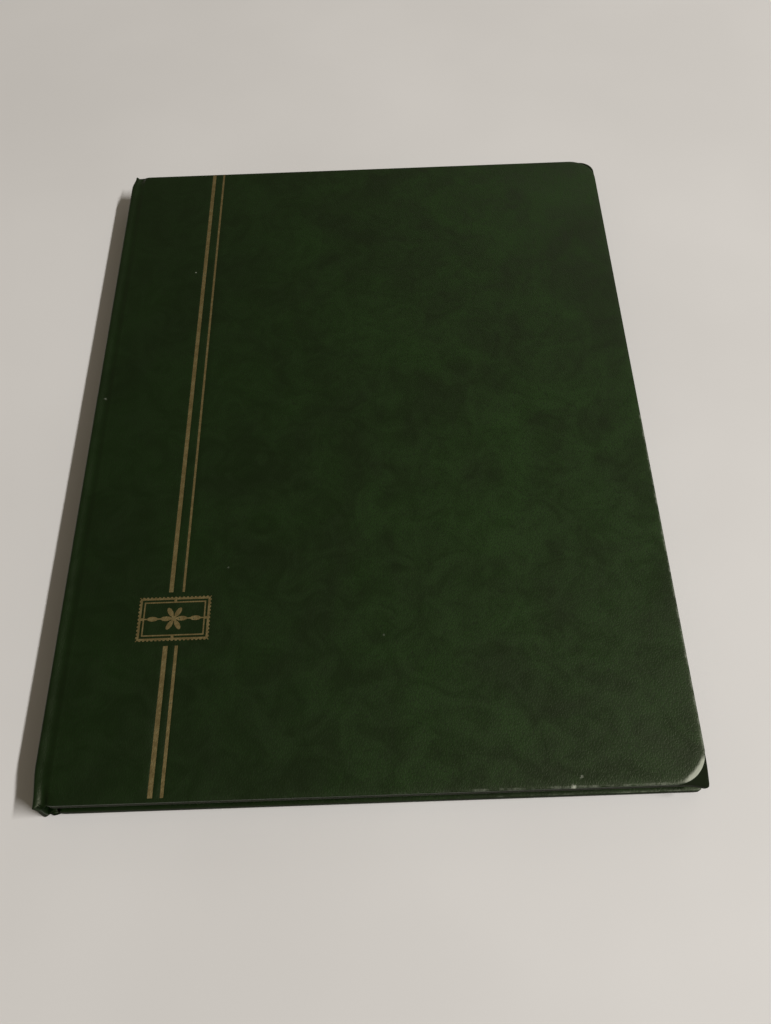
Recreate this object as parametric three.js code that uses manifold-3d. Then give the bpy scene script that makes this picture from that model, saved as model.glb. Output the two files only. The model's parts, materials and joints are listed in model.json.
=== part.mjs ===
// A4 stamp stockbook, lying shut on its back cover.
//
// A padded case (two covered boards and a covered spine strip) holds eight card leaves with pocket
// strips on both faces and a glassine interleaf under each of the first seven. Every leaf and interleaf
// swings on a hinge line at the face of the binding block, which goes with the spine.
//
// Millimetres. +X runs from the spine to the fore-edge, +Y from the tail to the head, +Z up.
// The origin is the middle of the face that the shut album rests on.

import * as THREE from "three";
import { mergeVertices } from "three/addons/utils/BufferGeometryUtils.js";
import Module from "manifold-3d";

const wasm = await Module();
wasm.setup();

// Driving dimensions of the shut album
const ALBUM_WIDTH = 230;
const ALBUM_HEIGHT = 305;
const ALBUM_THICKNESS = 15;
const JOINT_WIDTH = 7; // bare covering between the spine's face and a board's edge
const GAP = 0.05; // between layers that are glued to each other

const SPINE_X = -ALBUM_WIDTH / 2;
const FORE_X = ALBUM_WIDTH / 2;
const HALF_HEIGHT = ALBUM_HEIGHT / 2;
const BOARD_X = SPINE_X + JOINT_WIDTH;

// Case materials
const COVERING = 0.4;
const TURN_IN = 15; // covering folded over the inside of a board
const BOARD = 2;
const COVERED_CORNER = 1.5; // radius of the covering round a board's corner
const PAD_CORNER = 12; // foam and the covering over it are cut round at the fore-edge
const PAD_INSET = 0.3;
const PAD_BEVEL = 1;
const FRONT_PAD = 1.2;
const BACK_PAD = 0.8;
const PASTEDOWN = 0.12;
const PASTEDOWN_INSET = 4;
const END_HINGE = { from: BOARD_X + 0.5, to: BOARD_X + 12, thickness: 0.09, halfHeight: 146.5 };
const LAYER_GAP = 0.03; // between the thin layers inside a cover
const ARC_STEPS = 8;

// Heights in a cover, counted outwards from its inner face
const PASTEDOWN_LEVEL = END_HINGE.thickness + LAYER_GAP;
const LIP_LEVEL = PASTEDOWN_LEVEL + PASTEDOWN + LAYER_GAP;
const BOARD_LEVEL = LIP_LEVEL + COVERING + GAP;
const PAD_LEVEL = BOARD_LEVEL + BOARD + GAP;
const coverThickness = (pad) => PAD_LEVEL + pad + GAP + COVERING;

// Spine
const SPINE_STRIP = 1.4;
const STRIP_INSET = 0.2; // strip to the ends of its covering, along the thickness
const SPINE_CLEAR = 0.6; // spine piece to the outer face of either cover
const LINING = { x: -112.65, thickness: 0.2, halfHeight: 136 };
const BINDING = { x: -112.4, thickness: 0.8 };

// Leaves and interleaves
const LEAVES = 8;
const LEAF_CARD = 0.4;
const LEAF_HALF_HEIGHT = 147.5;
const FILM = 0.07;
const FILM_GAP = 0.03;
const INTERLEAF = 0.06;
const INTERLEAF_GAP = 0.07;
const LEAF_HINGE_X = -111.4;
const LEAF_CLEARANCE = 0.15;
const LINEN = { from: 2, to: 15, halfHeight: 147 }; // distances from the hinge line
const CARD = { from: 7.4, to: 221.9 };
const GLASSINE = { from: 2, to: 219, halfHeight: 146.5 };
const POCKETS = { from: 21.4, to: 218.4, rail: 4, strip: 22.5, pitch: 31.5, count: 9, bottom: -141.5 };

const LEAF_THICKNESS = LEAF_CARD + 2 * (FILM + FILM_GAP);
const LEAF_PITCH = LEAF_THICKNESS + INTERLEAF + 2 * INTERLEAF_GAP;
const BLOCK_BOTTOM = coverThickness(BACK_PAD) + LEAF_CLEARANCE;
const BLOCK_TOP = BLOCK_BOTTOM + LEAVES * LEAF_PITCH - INTERLEAF - 2 * INTERLEAF_GAP;

// Gold tooling on the front cover, all x from the spine's face and all y from the tail
const FOIL = 0.08;
const FOIL_DEPTH = 0.12; // the hot stamp presses the covering in by this much
const FOIL_LIFT = 0.02; // foil to the bottom of that hollow
const RULES = [
  { name: "gold_rule_wide_upper", x: 41.05, width: 1.75, from: 77, to: 303.5 },
  { name: "gold_rule_narrow_upper", x: 45.75, width: 1, from: 77, to: 303.5 },
  { name: "gold_rule_wide_lower", x: 41, width: 1.85, from: 1.5, to: 55.6 },
  { name: "gold_rule_narrow_lower", x: 45, width: 1.3, from: 1.5, to: 55.6 },
];
const EMBLEM = { x: 43.1, y: 66.3, width: 27, height: 17.5, margin: 0.25 };
const PERFORATION = { radius: 0.42, across: 18, up: 12 };
const EMBLEM_BAND = 1.15; // perforated border, then a gap, then a line frame
const EMBLEM_GAP = 0.8;
const EMBLEM_LINE = 0.5;
const CUTTER = 1; // half the height of what cuts the foil; what it spares is taller
const FLOWER = { petals: 6, length: 4.2, width: 1.9, radius: 2.9, core: 1.1, leafAt: 8 };

function material(color, roughness, metalness = 0) {
  return new THREE.MeshStandardMaterial({ color, roughness, metalness });
}

const MATERIALS = {
  leatherette: material(0x1f3a1c, 0.42),
  board: material(0x8d8577, 0.9),
  foam: material(0xd8d2c0, 0.95),
  endpaper: material(0xe9e3d2, 0.8),
  linen: material(0xe6dfcb, 0.85),
  card: material(0xece6d4, 0.7),
  film: material(0xf1efe6, 0.25),
  glassine: material(0xe4e0d2, 0.4),
  gold: material(0xb08d45, 0.35, 1),
};

// Geometry helpers

// A box between two corners, as a mesh placed by its centre.
function box(name, [x0, x1], [y0, y1], [z0, z1], finish) {
  const geometry = new THREE.BoxGeometry(x1 - x0, y1 - y0, z1 - z0);
  const mesh = new THREE.Mesh(geometry, finish);
  mesh.name = name;
  mesh.position.set((x0 + x1) / 2, (y0 + y1) / 2, (z0 + z1) / 2);
  return mesh;
}

// A rectangle with square corners at low x and round corners at high x.
function foreEdgeRounded([x0, x1], [y0, y1], radius) {
  const outline = new THREE.Shape();
  outline.moveTo(x0, y0);
  outline.lineTo(x1 - radius, y0);
  outline.absarc(x1 - radius, y0 + radius, radius, -Math.PI / 2, 0);
  outline.absarc(x1 - radius, y1 - radius, radius, 0, Math.PI / 2);
  outline.lineTo(x0, y1);
  outline.closePath();
  return outline;
}

function rectangle([x0, x1], [y0, y1]) {
  const path = new THREE.Path();
  path.moveTo(x0, y0);
  path.lineTo(x1, y0);
  path.lineTo(x1, y1);
  path.lineTo(x0, y1);
  path.closePath();
  return path;
}

function extrude(shape, [z0, z1], options = {}) {
  const settings = { depth: z1 - z0, bevelEnabled: false, curveSegments: ARC_STEPS, ...options };
  return new THREE.ExtrudeGeometry(shape, settings).translate(0, 0, z0);
}

// A slab whose outline shrinks by PAD_BEVEL in a round at its top and bottom edges.
function padShape(xs, ys, [z0, z1], radius) {
  const inner = foreEdgeRounded(
    [xs[0] + PAD_BEVEL, xs[1] - PAD_BEVEL],
    [ys[0] + PAD_BEVEL, ys[1] - PAD_BEVEL],
    radius - PAD_BEVEL,
  );
  const bevel = { bevelEnabled: true, bevelThickness: PAD_BEVEL, bevelSize: PAD_BEVEL, bevelSegments: 3 };
  return extrude(inner, [z0 + PAD_BEVEL, z1 - PAD_BEVEL], bevel);
}

function boxGeometry([x0, x1], [y0, y1], [z0, z1]) {
  const geometry = new THREE.BoxGeometry(x1 - x0, y1 - y0, z1 - z0);
  return geometry.translate((x0 + x1) / 2, (y0 + y1) / 2, (z0 + z1) / 2);
}

// An upright ten-sided rod, tall enough to cut the foil or to be spared by its cutters.
function rod(radius, [x, y]) {
  return new THREE.CylinderGeometry(radius, radius, 4 * CUTTER, 10).rotateX(Math.PI / 2).translate(x, y, 0);
}

// Boolean work, on closed geometries

function toSolid(geometry) {
  const bare = geometry.index ? geometry.toNonIndexed() : geometry.clone();
  bare.deleteAttribute("normal");
  bare.deleteAttribute("uv");
  const merged = mergeVertices(bare, 1e-4);
  const mesh = new wasm.Mesh({
    numProp: 3,
    vertProperties: merged.attributes.position.array,
    triVerts: new Uint32Array(merged.index.array),
  });
  return new wasm.Manifold(mesh);
}

function toGeometry(solid) {
  const { vertProperties, triVerts } = solid.getMesh();
  const geometry = new THREE.BufferGeometry();
  geometry.setAttribute("position", new THREE.BufferAttribute(vertProperties, 3));
  geometry.setIndex(new THREE.BufferAttribute(triVerts, 1));
  geometry.computeVertexNormals();
  return geometry;
}

function union(...geometries) {
  return toGeometry(geometries.map(toSolid).reduce((whole, next) => whole.add(next)));
}

function subtract(geometry, ...cutters) {
  return toGeometry(cutters.map(toSolid).reduce((whole, next) => whole.subtract(next), toSolid(geometry)));
}

function named(name, geometry, finish) {
  const mesh = new THREE.Mesh(geometry, finish);
  mesh.name = name;
  return mesh;
}

const both = (half) => [-half, half];

// Covers. Each is built with its inner face at z = 0 and its outer face up.

function coverSkin(pad) {
  const top = coverThickness(pad);
  const boardTop = PAD_LEVEL + COVERING;
  const windowEdge = FORE_X - TURN_IN;
  const aroundBoard = extrude(
    foreEdgeRounded([BOARD_X, FORE_X], both(HALF_HEIGHT), COVERED_CORNER),
    [LIP_LEVEL, boardTop],
  );
  const padFore = FORE_X - PAD_INSET;
  const padHalf = HALF_HEIGHT - PAD_INSET;
  const overPad = padShape([BOARD_X - PAD_BEVEL, padFore], both(padHalf), [LIP_LEVEL + 1, top], PAD_CORNER);
  // The bevel also rounds the pad's spine edge, which the flange then fills level.
  const flange = boxGeometry(
    [SPINE_X + COVERING, BOARD_X + PAD_BEVEL],
    both(HALF_HEIGHT - PAD_BEVEL),
    [top - COVERING, top],
  );
  const wall = COVERING - GAP;
  const boardRoom = boxGeometry(
    [SPINE_X, FORE_X - wall],
    both(HALF_HEIGHT - wall),
    [LIP_LEVEL + COVERING, PAD_LEVEL],
  );
  const padRoom = extrude(
    foreEdgeRounded([SPINE_X, padFore - COVERING], both(padHalf - COVERING), PAD_CORNER - COVERING),
    [PAD_LEVEL - GAP, top - COVERING],
  );
  const window = boxGeometry(
    [SPINE_X, windowEdge],
    both(HALF_HEIGHT - TURN_IN),
    [LIP_LEVEL - 1, LIP_LEVEL + COVERING + GAP],
  );
  return subtract(union(aroundBoard, overPad, flange), boardRoom, padRoom, window);
}

function pastedown(name) {
  const sheet = boxGeometry(
    [BOARD_X + 1, FORE_X - PASTEDOWN_INSET],
    both(HALF_HEIGHT - PASTEDOWN_INSET),
    [PASTEDOWN_LEVEL, PASTEDOWN_LEVEL + PASTEDOWN],
  );
  const filler = boxGeometry(
    [BOARD_X + 1, FORE_X - TURN_IN - GAP],
    both(HALF_HEIGHT - TURN_IN - GAP),
    [PASTEDOWN_LEVEL + PASTEDOWN / 2, BOARD_LEVEL - GAP],
  );
  return named(name, union(sheet, filler), MATERIALS.endpaper);
}

function cover(side, pad, skin) {
  const group = new THREE.Group();
  const boardOutline = foreEdgeRounded(
    [BOARD_X, FORE_X - COVERING],
    both(HALF_HEIGHT - COVERING),
    COVERED_CORNER - COVERING,
  );
  const foamOutline = foreEdgeRounded(
    [BOARD_X, FORE_X - PAD_INSET - COVERING - GAP],
    both(HALF_HEIGHT - PAD_INSET - COVERING - GAP),
    PAD_CORNER - COVERING,
  );
  group.add(
    named(`${side}_cover_skin`, skin, MATERIALS.leatherette),
    named(`${side}_board`, extrude(boardOutline, [BOARD_LEVEL, BOARD_LEVEL + BOARD]), MATERIALS.board),
    named(`${side}_padding`, extrude(foamOutline, [PAD_LEVEL, PAD_LEVEL + pad]), MATERIALS.foam),
    pastedown(`${side}_pastedown`),
    box(
      `${side}_end_hinge`,
      [END_HINGE.from, END_HINGE.to],
      both(END_HINGE.halfHeight),
      [0, END_HINGE.thickness],
      MATERIALS.linen,
    ),
  );
  return group;
}

function backCover() {
  const group = cover("back", BACK_PAD, coverSkin(BACK_PAD));
  group.rotation.x = Math.PI;
  group.position.z = coverThickness(BACK_PAD);
  return group;
}

// Perforation holes centred on the four edges of the emblem's outline.
function perforations() {
  const { width, height } = EMBLEM;
  const { radius, across, up } = PERFORATION;
  const holes = [];
  for (const side of [-1, 1]) {
    for (let i = 0; i < across; i++) {
      holes.push(rod(radius, [((i + 0.5) / across - 0.5) * width, (side * height) / 2]));
    }
    for (let i = 0; i < up; i++) {
      holes.push(rod(radius, [(side * width) / 2, ((i + 0.5) / up - 0.5) * height]));
    }
  }
  return holes;
}

// A six-petal flower on a bar, with a leaf on each side.
function flower() {
  const { petals, length, width, radius, core, leafAt } = FLOWER;
  const bar = boxGeometry(both(EMBLEM.width / 2), both(EMBLEM_LINE / 2), both(2 * CUTTER));
  const pieces = [rod(core, [0, 0]), bar];
  const petal = () => rod(1, [0, 0]).scale(length / 2, width / 2, 1);
  for (let i = 0; i < petals; i++) {
    pieces.push(petal().translate(radius, 0, 0).rotateZ((i * 2 * Math.PI) / petals));
  }
  for (const x of both(leafAt)) pieces.push(petal().translate(x, 0, 0));
  return pieces;
}

// A centred block this far in from the emblem's outline.
function emblemBlock(inset, halfTall) {
  return boxGeometry(both(EMBLEM.width / 2 - inset), both(EMBLEM.height / 2 - inset), both(halfTall));
}

// A plain postage stamp in outline: a perforated band, tied at the middle of each side to a line frame.
function emblemFoil() {
  const { width, height } = EMBLEM;
  const frameEdge = EMBLEM_BAND + EMBLEM_GAP;
  const spared = both(2 * CUTTER);
  const ties = [
    boxGeometry(both(EMBLEM_LINE), both(height), spared),
    boxGeometry(both(width), both(EMBLEM_LINE), spared),
  ];
  const gap = subtract(emblemBlock(EMBLEM_BAND, CUTTER), emblemBlock(frameEdge, 2 * CUTTER), ...ties);
  const ground = subtract(emblemBlock(frameEdge + EMBLEM_LINE, CUTTER), ...flower());
  const plate = boxGeometry(both(width / 2), both(height / 2), [0, FOIL]);
  return named("gold_emblem", subtract(plate, ...perforations(), gap, ground), MATERIALS.gold);
}

// A hollow pressed into the covering, wider all round than the foil in it.
function press([x0, x1], [y0, y1], margin, top) {
  return boxGeometry([x0 - margin, x1 + margin], [y0 - margin, y1 + margin], [top - FOIL_DEPTH, top + 1]);
}

function tooling(top) {
  const foilBottom = top - FOIL_DEPTH + FOIL_LIFT;
  const foils = [];
  const presses = [];
  for (const { name, x, width, from, to } of RULES) {
    const xs = [SPINE_X + x - width / 2, SPINE_X + x + width / 2];
    const ys = [from - HALF_HEIGHT, to - HALF_HEIGHT];
    foils.push(box(name, xs, ys, [foilBottom, foilBottom + FOIL], MATERIALS.gold));
    presses.push(press(xs, ys, GAP, top));
  }
  const emblem = emblemFoil();
  const emblemX = SPINE_X + EMBLEM.x;
  const emblemY = EMBLEM.y - HALF_HEIGHT;
  emblem.position.set(emblemX, emblemY, foilBottom);
  foils.push(emblem);
  const emblemXs = [emblemX - EMBLEM.width / 2, emblemX + EMBLEM.width / 2];
  const emblemYs = [emblemY - EMBLEM.height / 2, emblemY + EMBLEM.height / 2];
  presses.push(press(emblemXs, emblemYs, EMBLEM.margin, top));
  return { foils, presses };
}

function frontCover() {
  const top = coverThickness(FRONT_PAD);
  const { foils, presses } = tooling(top);
  const group = cover("front", FRONT_PAD, subtract(coverSkin(FRONT_PAD), ...presses));
  group.add(...foils);
  group.position.z = ALBUM_THICKNESS - top;
  return group;
}

// Spine

function spineSkin(zs) {
  const stripX = [SPINE_X + COVERING, SPINE_X + COVERING + SPINE_STRIP + 2 * GAP];
  const lipX = [stripX[1], stripX[1] + COVERING];
  const whole = boxGeometry([SPINE_X, lipX[1]], both(HALF_HEIGHT), zs);
  const through = [zs[0] - 1, zs[1] + 1];
  const stripRoom = boxGeometry(stripX, both(HALF_HEIGHT - COVERING), through);
  const window = boxGeometry([stripX[1] - GAP, lipX[1] + 1], both(HALF_HEIGHT - TURN_IN), through);
  return subtract(whole, stripRoom, window);
}

function spine() {
  const group = new THREE.Group();
  const zs = [SPINE_CLEAR, ALBUM_THICKNESS - SPINE_CLEAR];
  const stripX = SPINE_X + COVERING + GAP;
  const liningX = [LINING.x, LINING.x + LINING.thickness];
  const bindingX = [BINDING.x, BINDING.x + BINDING.thickness];
  const blockZ = [BLOCK_BOTTOM, BLOCK_TOP];
  group.add(
    named("spine_skin", spineSkin(zs), MATERIALS.leatherette),
    box(
      "spine_strip",
      [stripX, stripX + SPINE_STRIP],
      both(HALF_HEIGHT - COVERING - GAP),
      [zs[0] + STRIP_INSET, zs[1] - STRIP_INSET],
      MATERIALS.board,
    ),
    box("spine_lining", liningX, both(LINING.halfHeight), blockZ, MATERIALS.endpaper),
    box("binding_block", bindingX, both(LEAF_HALF_HEIGHT), blockZ, MATERIALS.linen),
  );
  return group;
}

// Leaves. Each group's origin lies on its hinge line, at the level of its linen strip.

function pocketSheet(name, z) {
  const { from, to, rail, strip, pitch, count, bottom } = POCKETS;
  const top = bottom + (count - 1) * pitch + strip;
  const sheet = new THREE.Shape(rectangle([from, to], [bottom, top]).getPoints());
  for (let i = 0; i < count - 1; i++) {
    const opening = bottom + i * pitch + strip;
    sheet.holes.push(rectangle([from + rail, to - rail], [opening, bottom + (i + 1) * pitch]));
  }
  return named(name, extrude(sheet, [z, z + FILM]), MATERIALS.film);
}

function leaf(number) {
  const group = new THREE.Group();
  const cardTop = -FILM_GAP - FILM / 2;
  const cardBottom = cardTop - LEAF_CARD;
  group.add(
    box(
      `leaf_${number}_card`,
      [CARD.from, CARD.to],
      both(LEAF_HALF_HEIGHT),
      [cardBottom, cardTop],
      MATERIALS.card,
    ),
    box(
      `leaf_${number}_linen_hinge`,
      [LINEN.from, LINEN.to],
      both(LINEN.halfHeight),
      both(FILM / 2),
      MATERIALS.linen,
    ),
    pocketSheet(`leaf_${number}_pockets_front`, -FILM / 2),
    pocketSheet(`leaf_${number}_pockets_back`, cardBottom - FILM_GAP - FILM),
  );
  const leafTop = BLOCK_TOP - (number - 1) * LEAF_PITCH;
  group.position.set(LEAF_HINGE_X, 0, leafTop - FILM / 2);
  return group;
}

function interleaf(number) {
  const sheet = box(
    `interleaf_${number}`,
    [GLASSINE.from, GLASSINE.to],
    both(GLASSINE.halfHeight),
    both(INTERLEAF / 2),
    MATERIALS.glassine,
  );
  const group = new THREE.Group();
  group.add(sheet);
  const leafBottom = BLOCK_TOP - (number - 1) * LEAF_PITCH - LEAF_THICKNESS;
  group.position.set(LEAF_HINGE_X, 0, leafBottom - INTERLEAF_GAP - INTERLEAF / 2);
  return group;
}

const album = new THREE.Group();
album.add(backCover(), spine(), frontCover());
for (let number = 1; number <= LEAVES; number++) {
  album.add(leaf(number));
  if (number < LEAVES) album.add(interleaf(number));
}

export default album;
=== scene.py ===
import json
import math

import bpy
import numpy as np
from mathutils import Matrix, Vector, noise


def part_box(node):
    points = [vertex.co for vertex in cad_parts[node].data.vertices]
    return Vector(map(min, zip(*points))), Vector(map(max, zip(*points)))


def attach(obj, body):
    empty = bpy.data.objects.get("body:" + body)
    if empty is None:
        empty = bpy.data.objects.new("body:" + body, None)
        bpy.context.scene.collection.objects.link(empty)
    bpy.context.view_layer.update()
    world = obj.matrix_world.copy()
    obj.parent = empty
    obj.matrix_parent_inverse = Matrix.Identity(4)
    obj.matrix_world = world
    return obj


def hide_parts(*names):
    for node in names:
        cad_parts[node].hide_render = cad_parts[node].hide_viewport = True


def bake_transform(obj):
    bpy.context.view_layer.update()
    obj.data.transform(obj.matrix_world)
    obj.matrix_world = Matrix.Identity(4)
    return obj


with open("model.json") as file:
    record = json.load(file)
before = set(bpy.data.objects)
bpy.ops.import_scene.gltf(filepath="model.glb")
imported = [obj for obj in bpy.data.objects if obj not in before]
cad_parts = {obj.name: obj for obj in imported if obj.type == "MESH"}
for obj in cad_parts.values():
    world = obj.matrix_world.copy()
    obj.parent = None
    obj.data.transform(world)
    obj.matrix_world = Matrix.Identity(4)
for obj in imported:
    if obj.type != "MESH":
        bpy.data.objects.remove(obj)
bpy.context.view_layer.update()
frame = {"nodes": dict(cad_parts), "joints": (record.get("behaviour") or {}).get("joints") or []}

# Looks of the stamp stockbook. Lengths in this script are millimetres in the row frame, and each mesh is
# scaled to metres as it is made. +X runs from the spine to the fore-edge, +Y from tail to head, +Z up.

MM = 0.001
BOXES = {}


def node_box(name):
    """Lowest and highest corner of a CAD node in millimetres."""
    if name not in BOXES:
        low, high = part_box(name)
        BOXES[name] = (np.array(low) / MM, np.array(high) / MM)
    return BOXES[name]


# Sizes read from the frame

FRONT_LOW, FRONT_HIGH = node_box("front_cover_skin")
BACK_LIP = node_box("back_cover_skin")[1][2]  # height of the back covering's turned-in edge
SPINE_LOW, SPINE_HIGH = node_box("spine_skin")
BOARD_LOW, BOARD_HIGH = node_box("front_board")
BLOCK_LOW, BLOCK_HIGH = node_box("binding_block")

SPINE_X = SPINE_LOW[0]
FORE_X = FRONT_HIGH[0]
HALF_HEIGHT = FRONT_HIGH[1]
TOP_Z = FRONT_HIGH[2]
BOARD_X = BOARD_LOW[0]

# Sizes of the looks, in millimetres

COVERING = 0.4
GLUE = 0.05  # gap between the covering and the board it is glued to
PAD_CORNER = 12.0
PAD_INSET = 0.05
RIDGE = 0.6  # distance in from the board's edge of the last row of a padded face
COVERED_CORNER = 1.5
TAIL_CORNER = 0.8  # the front cover's corner at the tail, which is the sharpest
WORN_CORNER = 6.5  # radius of the front board's corner at the head, which has been knocked round
TURN_IN = 15.0
SPINE_EDGE = 1.0  # radius of the covering round the spine strip's long edges
SPINE_STRIP_SHORT = 1.2  # the spine strip ends this far inside the covering's pressed-in ends
FACE_DIP = 0.12  # the joint's shoulders lie this far below a cover's outer face
GROOVE = 0.45  # and the groove between them this much deeper
JOINT_OVERLAP = -0.15  # from the board's spine edge to where the covering starts to be wrapped round it
PULLED_IN = 1.0  # how far the covering is drawn in at the head and tail ends of the joint
SEAM_Z = 1.7  # height on the spine's face where the two pieces of covering meet
FRONT_LEDGE = TOP_Z - BOARD_HIGH[2] - COVERING - GLUE  # depth at which the pad ends and the board begins
FRONT_LIP = TOP_Z - FRONT_LOW[2]  # depth of the front covering's turned-in edge
BACK_LEDGE = node_box("back_board")[0][2] - COVERING - GLUE
PAD_STEP = 9.0  # grid of the foam pads, which the covering hides
COVER_STEP = 3.0
EDGE_STEPS = (0.5, 1.1, 1.9, 2.9, 4.2, 5.8, 7.8, 10.2, 13.0)  # grid lines in from a rounded edge
LEAVES = 8
LEAF_CORNER = 3.0
STRIPS = 9
STRIP_HEIGHT = 22.5
STRIP_PITCH = 31.5

# Where a hinge strip or interleaf bends, along X from its hinge line
BEND_STEPS = (-0.35, 0.0, 0.2, 0.4, 0.6, 0.8, 1.0, 1.2, 1.4, 1.6, 1.8)


# Numbers and meshes


def smoothstep(value, low, high):
    t = np.clip((value - low) / (high - low), 0.0, 1.0)
    return t * t * (3 - 2 * t)


def wander(x, y, size, seed):
    """Smooth noise from -1 to 1, with features of about this size in millimetres."""
    return noise.noise(Vector((x / size, y / size, seed)))


def make_piece(name, points, faces, material, smooth=True):
    """A mesh object from points in millimetres."""
    mesh = bpy.data.meshes.new(name)
    mesh.from_pydata([tuple(p) for p in np.asarray(points, float) * MM], [], faces)
    mesh.validate()
    mesh.materials.append(material)
    mesh.polygons.foreach_set("use_smooth", [smooth] * len(mesh.polygons))
    piece = bpy.data.objects.new(name, mesh)
    bpy.context.scene.collection.objects.link(piece)
    return piece


def apply_modifiers(piece):
    """Replaces a piece's mesh with what its modifiers make of it."""
    graph = bpy.context.evaluated_depsgraph_get()
    graph.update()
    final = bpy.data.meshes.new_from_object(piece.evaluated_get(graph), depsgraph=graph)
    piece.modifiers.clear()
    piece.data = final


def thicken(piece, thickness, offset=-1.0):
    """Turns a sheet into a thin closed shell. With offset -1 the sheet is the shell's outer side."""
    modifier = piece.modifiers.new("thickness", "SOLIDIFY")
    modifier.thickness = thickness * MM
    modifier.offset = offset
    modifier.use_even_offset = False
    apply_modifiers(piece)


def keep_rest(piece):
    """Stores each point's rest place, in millimetres, for materials on pieces that bend."""
    count = len(piece.data.vertices)
    rest = np.zeros(count * 3, np.float32)
    piece.data.vertices.foreach_get("co", rest)
    attribute = piece.data.attributes.new("rest_mm", "FLOAT_VECTOR", "POINT")
    attribute.data.foreach_set("vector", rest / MM)


def grid_faces(columns, rows, start=0):
    """Quads of a grid whose points run row by row inside each column."""
    faces = []
    for i in range(columns - 1):
        for j in range(rows - 1):
            a = start + i * rows + j
            faces.append((a, a + rows, a + rows + 1, a + 1))
    return faces


def grid_border(columns, rows):
    """Point numbers round the border of a grid, in order."""
    border = [i * rows for i in range(columns)]
    border += [(columns - 1) * rows + j for j in range(1, rows)]
    border += [i * rows + rows - 1 for i in range(columns - 2, -1, -1)]
    return border + list(range(rows - 2, 0, -1))


def flipped(faces):
    return [tuple(reversed(face)) for face in faces]


def slab_faces(columns, rows, start=0):
    """Faces of a closed slab of two grids, whose second grid of points lies above the first."""
    above = start + columns * rows
    faces = flipped(grid_faces(columns, rows, start)) + grid_faces(columns, rows, above)
    border = grid_border(columns, rows)
    for a, b in zip(border, border[1:] + border[:1]):
        faces.append((start + a, start + b, above + b, above + a))
    return faces


def stacked_rings(name, rings, material):
    """A solid through matching rings of points, closed with a flat face at each end."""
    count = len(rings[0])
    points = [p for ring in rings for p in ring]
    last = (len(rings) - 1) * count
    faces = [tuple(reversed(range(count))), tuple(last + k for k in range(count))]
    for level in range(len(rings) - 1):
        a = level * count
        for k in range(count):
            n = (k + 1) % count
            faces.append((a + k, a + n, a + count + n, a + count + k))
    return make_piece(name, points, faces, material, smooth=False)


def eased_edges(bottom, top, ease):
    """Insets and heights of a flat board's rings, whose edges are eased by a small chamfer."""
    return ((ease, bottom), (0.0, bottom + ease), (0.0, top - ease), (ease, top))


def rounded_rectangle(low, high, tail_radius, head_radius, steps=6):
    """Outline points with round corners at high x, anticlockwise seen from above."""
    points = [(low[0], low[1])]
    corners = ((low[1] + tail_radius, -90, tail_radius), (high[1] - head_radius, 0, head_radius))
    for centre_y, start, radius in corners:
        for step in range(steps + 1):
            angle = math.radians(start + 90 * step / steps)
            x = high[0] - radius + radius * math.cos(angle)
            points.append((x, centre_y + radius * math.sin(angle)))
    points.append((low[0], high[1]))
    return points


def rounded_path(corners, radius, steps=4):
    """A path through corner points with each inner corner rounded."""
    path = [np.array(corners[0], float)]
    for before, corner, after in zip(corners, corners[1:], corners[2:]):
        corner = np.array(corner, float)
        to_before = np.array(before, float) - corner
        to_after = np.array(after, float) - corner
        reach = min(radius, 0.45 * np.linalg.norm(to_before), 0.45 * np.linalg.norm(to_after))
        start = corner + to_before / np.linalg.norm(to_before) * reach
        end = corner + to_after / np.linalg.norm(to_after) * reach
        for step in range(steps + 1):
            t = step / steps
            path.append((1 - t) ** 2 * start + 2 * t * (1 - t) * corner + t * t * end)
    path.append(np.array(corners[-1], float))
    return path


def spread(path, step):
    """Adds points so that no two neighbours on a path are further apart than step."""
    dense = [path[0]]
    for a, b in zip(path, path[1:]):
        count = max(1, math.ceil(np.linalg.norm(b - a) / step))
        dense += [a + (b - a) * (k / count) for k in range(1, count + 1)]
    return dense


def tidied(places, apart=0.05):
    """Sorted places, without those closer to the one before than this."""
    kept = []
    for place in sorted(places):
        if not kept or place - kept[-1] > apart:
            kept.append(float(place))
    return kept


def stations(start, end, step, edge_steps=()):
    """Places from start to end, close together at the end by edge_steps and step apart elsewhere."""
    fine = [end - d for d in edge_steps] + [end]
    count = max(2, round((min(fine) - start) / step) + 1)
    return tidied([*np.linspace(start, min(fine), count), *fine])


def mirrored(places):
    """Places on both sides of zero, sorted, from those on one side."""
    return sorted({-place for place in places} | set(places))


# Places of the gold tooling on the front cover

RULES = [f"gold_rule_{width}_{part}" for part in ("upper", "lower") for width in ("wide", "narrow")]
PRESS = 0.07  # depth to which the hot stamp pressed the covering in
PRESS_EDGE = 0.25  # width of the slope round it


def beyond_emblem(x, y):
    """Distance outside the emblem's box, and 0 inside it."""
    low, high = node_box("gold_emblem")
    return max(low[0] - x, x - high[0], low[1] - y, y - high[1], 0.0)


def pressed(x, y):
    """How deep the hot stamp has pressed the covering in at a point."""
    depth = 0.0
    for name in RULES:
        low, high = node_box(name)
        across = max(low[0] - x, x - high[0])
        along = max(low[1] - y, y - high[1]) if "lower" in name else low[1] - y
        depth = max(depth, 1.0 - max(across, along, 0.0) / PRESS_EDGE)
    return PRESS * max(depth, 1.0 - beyond_emblem(x, y) / (8 * PRESS_EDGE), 0.0)


# The leatherette covering


def edge_distance(x, y):
    """Distance in from the padding's outline, which is round at the two fore-edge corners."""
    across = FORE_X - PAD_INSET - x
    along = HALF_HEIGHT - PAD_INSET - abs(y)
    if across < PAD_CORNER and along < PAD_CORNER:
        return PAD_CORNER - math.hypot(PAD_CORNER - across, PAD_CORNER - along)
    return min(across, along)


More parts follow.
